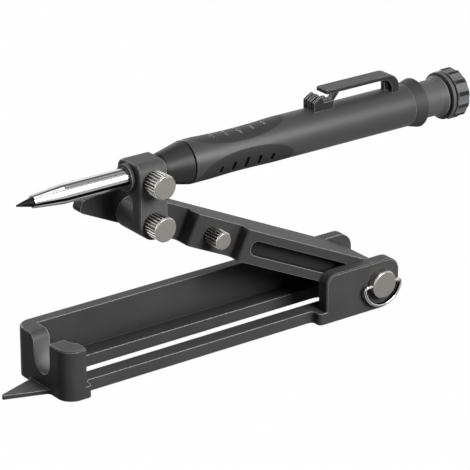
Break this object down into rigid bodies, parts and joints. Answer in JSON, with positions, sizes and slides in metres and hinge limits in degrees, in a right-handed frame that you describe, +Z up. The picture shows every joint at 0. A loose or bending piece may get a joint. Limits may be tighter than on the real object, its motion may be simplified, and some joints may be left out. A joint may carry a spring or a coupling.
{
  "type": "folding scribing tool",
  "caption": "Folding scribing tool: a pointed shoe, a hinged arm and a swivel block that clamps a deep-hole carpenter's pencil to copy a wall's line.",
  "frame": {"origin": "on the sole, under the hinge axis, at the middle of the shoe's width", "axes": "+X from the guide point towards the hinge, +Z up, screw heads on the -Y side"},
  "size_m": [0.1579, 0.0304, 0.0708],
  "materials": {
    "black_alloy": "matte black powder-coated die casting",
    "nickel_steel": "nickel-plated turned steel",
    "chrome": "polished chrome-plated steel",
    "black_plastic": "fine matte moulded plastic",
    "grey_plastic": "moulded plastic",
    "graphite": "graphite lead",
    "bright_steel": "bright drawn steel",
    "brass": "turned brass"
  },
  "bodies": {
    "shoe": {"shoe": "black_alloy"},
    "bolt": {"hinge_bolt": "nickel_steel"},
    "ring": {"hinge_ring": "chrome"},
    "arm": {"arm": "black_alloy"},
    "arm_knob": {"arm_screw": "nickel_steel"},
    "pivot_knob": {"pivot_screw": "nickel_steel"},
    "block": {"clamp_block": "black_alloy"},
    "pencil_knob": {"pencil_screw": "nickel_steel"},
    "pencil": {"lead": "graphite", "nose_tube": "chrome", "front_cone": "black_plastic", "barrel": "black_plastic", "pocket_clip": "black_plastic", "rear_collar": "black_plastic", "collet_ring": "brass", "return_spring": "bright_steel"},
    "button": {"push_button": "black_plastic", "button_ring": "grey_plastic", "lead_tube": "bright_steel", "collet": "brass"},
    "cap": {"sharpener_cap": "black_plastic", "sharpener_insert": "grey_plastic", "sharpener_blade": "bright_steel", "blade_screw": "bright_steel"}
  },
  "joints": [
    {"name": "arm_hinge", "type": "hinge", "parent": "shoe", "child": "arm", "pos_m": [0, 0, 0.0085], "axis": [0, 1, 0], "range_deg": [-21.5, 64.9]},
    {"name": "bolt_turn", "type": "hinge", "parent": "shoe", "child": "bolt", "pos_m": [0, 0, 0.0085], "axis": [0, -1, 0], "range_deg": [0, 270]},
    {"name": "ring_swing", "type": "hinge", "parent": "bolt", "child": "ring", "pos_m": [0, -0.01495, 0.0085], "axis": [-1, 0, 0], "range_deg": [-5, 185]},
    {"name": "arm_knob_turn", "type": "hinge", "parent": "arm", "child": "arm_knob", "pos_m": [-0.05556, -0.005, 0.03453], "axis": [0, -1, 0], "range_deg": [0, 270]},
    {"name": "block_pivot", "type": "hinge", "parent": "arm", "child": "block", "pos_m": [-0.07946, 0, 0.04572], "axis": [0, -1, 0], "range_deg": [-25, 60]},
    {"name": "pivot_knob_turn", "type": "hinge", "parent": "arm", "child": "pivot_knob", "pos_m": [-0.07946, 0, 0.04572], "axis": [0, -1, 0], "range_deg": [0, 270]},
    {"name": "pencil_knob_turn", "type": "hinge", "parent": "block", "child": "pencil_knob", "pos_m": [-0.07946, -0.01, 0.0582], "axis": [0, -1, 0], "range_deg": [0, 270]},
    {"name": "pencil_slide", "type": "slide", "parent": "block", "child": "pencil", "axis": [1, 0, 0], "range_m": [0, 0.02]},
    {"name": "button_press", "type": "slide", "parent": "pencil", "child": "button", "axis": [-1, 0, 0], "range_m": [0, 0.003], "stiffness_N_per_m": 400, "springref_m": -0.002, "deforming": ["return_spring"]},
    {"name": "cap_turn", "type": "hinge", "parent": "button", "child": "cap", "pos_m": [0.03, -0.0053, 0.059], "axis": [1, 0, 0], "range_deg": [0, 270]}
  ]
}
